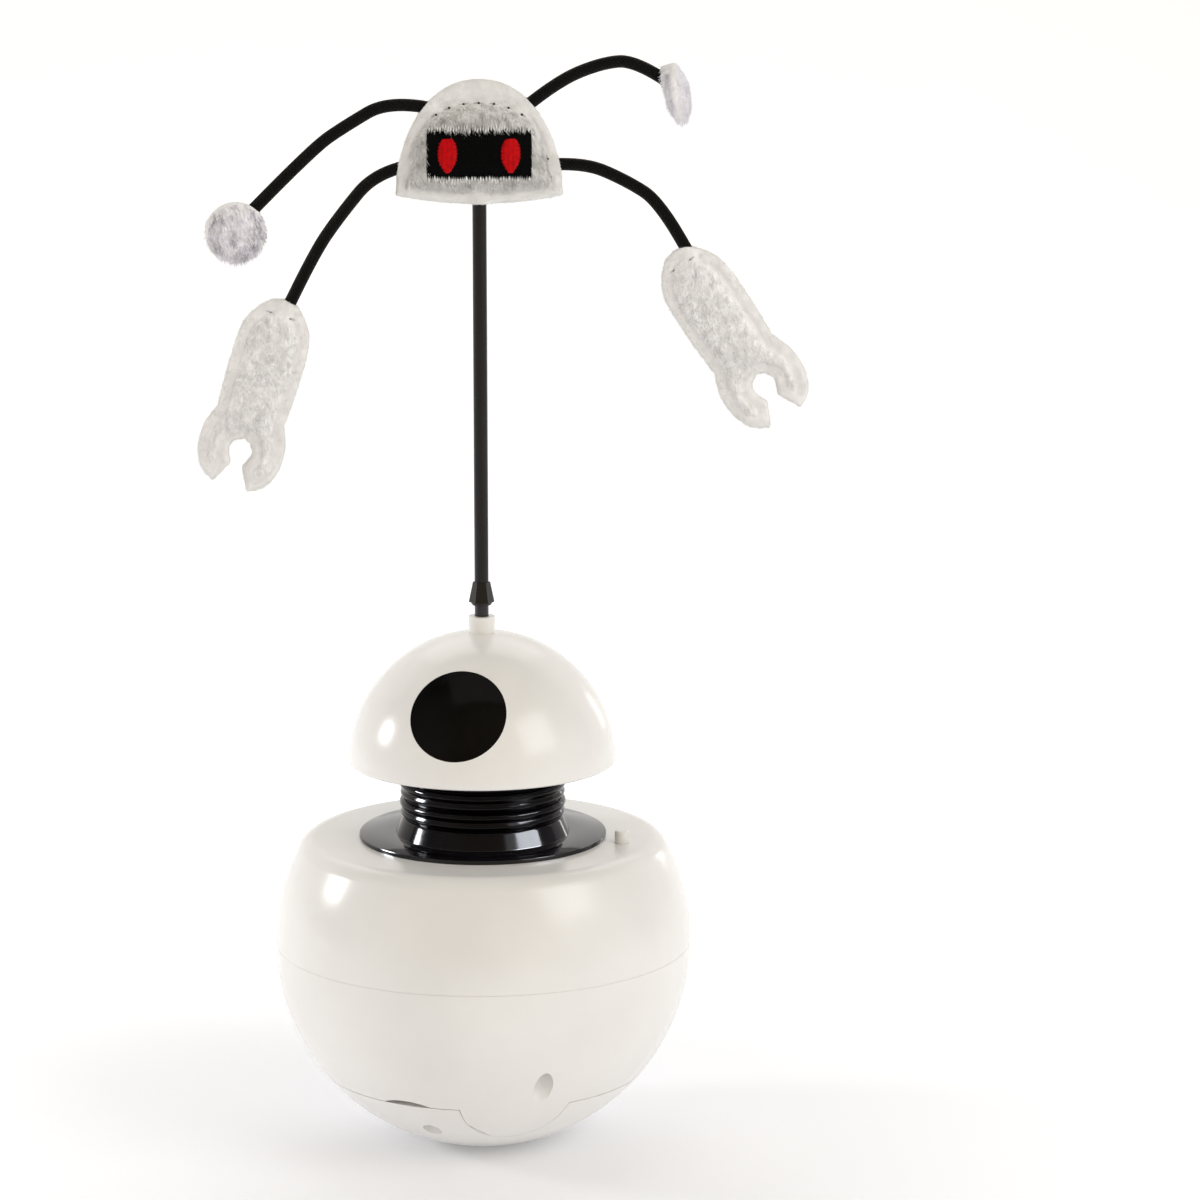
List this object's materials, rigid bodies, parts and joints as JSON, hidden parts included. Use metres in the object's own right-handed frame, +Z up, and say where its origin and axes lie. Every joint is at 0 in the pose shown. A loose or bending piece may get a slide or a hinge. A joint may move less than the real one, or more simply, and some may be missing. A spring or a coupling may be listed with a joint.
{
  "type": "automatic cat laser toy",
  "caption": "Self-righting ball-bodied cat toy with a motor-turned laser head on a ribbed neck and a plug-in wand that holds a small plush robot with wire arms.",
  "frame": {"origin": "centre of the flat foot that the body rests on", "axes": "+Z up along the head's turning axis, towards the wand; -Y to the front, where the laser window is; +X to the right seen from the front"},
  "size_m": [0.1302, 0.09, 0.2348],
  "materials": {
    "shell_white": "gloss",
    "neck_black": "gloss",
    "window_black": "gloss",
    "plug_black": "satin",
    "rod_black": "satin",
    "sleeve_black": "matte",
    "plush_grey": "matte",
    "pad_plush": "matte",
    "visor_thread": "satin",
    "eye_thread": "satin",
    "inner_plastic": "matte",
    "gear_plastic": "satin",
    "connector_white": "satin",
    "chip_black": "matte",
    "board_green": "satin",
    "screw_steel": "satin",
    "contact_metal": "satin",
    "motor_steel": "satin",
    "capacitor_can": "satin",
    "cell_jacket": "satin",
    "ballast_iron": "matte",
    "brass_turned": "satin",
    "track_copper": "satin",
    "lens_glass": "gloss"
  },
  "bodies": {
    "base": {"upper_shell": "shell_white", "lower_shell": "shell_white", "shell_screws": "screw_steel", "battery_tray": "inner_plastic", "battery_cell_1": "cell_jacket", "battery_cell_2": "cell_jacket", "battery_cell_3": "cell_jacket", "battery_contacts": "contact_metal", "battery_springs": "contact_metal", "main_board": "board_green", "controller_chip": "chip_black", "smoothing_capacitor": "capacitor_can", "wire_connector": "connector_white", "switch_board": "board_green", "tact_switch": "chip_black", "board_screws": "screw_steel", "gearbox_frame": "inner_plastic", "gearbox_cover": "inner_plastic", "case_screws": "screw_steel", "gear_axles": "screw_steel", "motor_can": "motor_steel", "motor_end_cap": "chip_black", "neck_collar": "neck_black", "neck_bush": "brass_turned", "slip_ring_plate": "board_green", "slip_ring_tracks": "track_copper"},
    "door": {"battery_door": "shell_white", "door_screw": "screw_steel", "ballast_weight": "ballast_iron"},
    "button": {"push_button": "shell_white"},
    "gear_2": {"compound_gear_2": "gear_plastic"},
    "gear_1": {"compound_gear_1": "gear_plastic"},
    "rotor": {"motor_rotor": "motor_steel", "motor_pinion": "brass_turned"},
    "head": {"output_gear": "gear_plastic", "dome_shell": "shell_white", "dome_floor": "shell_white", "head_screws": "screw_steel", "hub_screw": "screw_steel", "laser_window": "window_black", "laser_barrel": "brass_turned", "laser_lens": "lens_glass", "laser_holder": "inner_plastic", "wiper_springs": "track_copper"},
    "wand": {"wand_plug": "plug_black", "wand_rod": "rod_black", "plush_head": "plush_grey", "head_visor": "visor_thread", "visor_eyes": "eye_thread", "arm_upper_left": "sleeve_black", "arm_lower_left": "sleeve_black", "arm_upper_right": "sleeve_black", "arm_lower_right": "sleeve_black", "pad_left": "pad_plush", "pad_right": "pad_plush", "claw_left": "plush_grey", "claw_right": "plush_grey"}
  },
  "joints": [
    {"name": "head_turn", "type": "hinge", "parent": "base", "child": "head", "pos_m": [0, 0, 0.07], "axis": [0, 0, 1], "continuous": true},
    {"name": "gear_2_spin", "type": "hinge", "parent": "base", "child": "gear_2", "pos_m": [-0.01355, 0, 0.057], "axis": [0, 0, 1], "continuous": true},
    {"name": "gear_1_spin", "type": "hinge", "parent": "base", "child": "gear_1", "pos_m": [-0.01564, 0.01187, 0.055], "axis": [0, 0, 1], "continuous": true},
    {"name": "motor_spin", "type": "hinge", "parent": "base", "child": "rotor", "pos_m": [-0.00378, 0.01396, 0.045], "axis": [0, 0, 1], "continuous": true},
    {"name": "button_press", "type": "slide", "parent": "base", "child": "button", "axis": [0, 0, -1], "range_m": [0, 0.0005], "stiffness_N_per_m": 3000},
    {"name": "wand_pull", "type": "slide", "parent": "head", "child": "wand", "axis": [0, 0, 1], "range_m": [0, 0.014]},
    {"name": "battery_door_off", "type": "slide", "parent": "base", "child": "door", "axis": [0, 0, -1], "range_m": [0, 0.025]}
  ],
  "couplings": [
    {"joint": "gear_2_spin", "follows": "head_turn", "ratio": -3.5},
    {"joint": "gear_1_spin", "follows": "head_turn", "ratio": 10.5},
    {"joint": "motor_spin", "follows": "head_turn", "ratio": -31.5}
  ]
}
